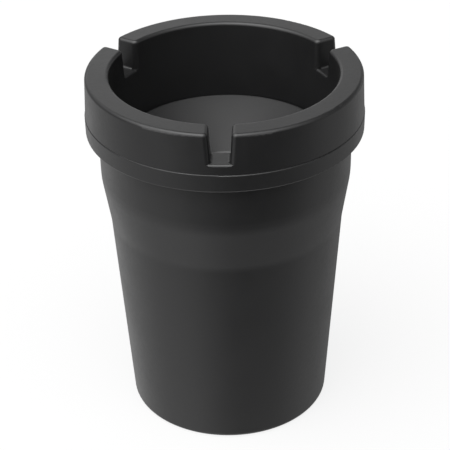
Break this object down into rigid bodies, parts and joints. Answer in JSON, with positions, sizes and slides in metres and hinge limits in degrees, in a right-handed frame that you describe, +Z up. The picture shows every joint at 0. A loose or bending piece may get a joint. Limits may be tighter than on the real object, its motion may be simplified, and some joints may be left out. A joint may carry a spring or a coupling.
{
  "type": "cup holder ashtray",
  "caption": "Tapered black bucket ashtray with a lift-off lid ring that has cigarette rests, and a funnel that snuffs butts as they drop into the cup.",
  "frame": {"origin": "centre of the underside, on the plane the cup stands on", "axes": "+Z up along the cup's axis; one cigarette rest faces -Y and the other two are 120 degrees either side of it"},
  "size_m": [0.0944, 0.0944, 0.127],
  "materials": {
    "cup_plastic": "fine-grained satin black",
    "lid_plastic": "fine-grained satin black",
    "funnel_plastic": "matte black, heat resisting",
    "seal_rubber": "matte"
  },
  "bodies": {
    "cup": {"cup": "cup_plastic"},
    "seal": {"lid_seal": "seal_rubber"},
    "lid": {"lid_rim": "lid_plastic"},
    "funnel": {"funnel": "funnel_plastic"}
  },
  "joints": [
    {"name": "lid_lift", "type": "slide", "parent": "cup", "child": "seal", "axis": [0, 0, 1], "range_m": [0, 0.06]},
    {"name": "lid_turn", "type": "hinge", "parent": "seal", "child": "lid", "pos_m": [0, 0, 0.1077], "axis": [0, 0, 1], "continuous": true},
    {"name": "funnel_lift", "type": "slide", "parent": "lid", "child": "funnel", "axis": [0, 0, 1], "range_m": [0, 0.06]}
  ]
}
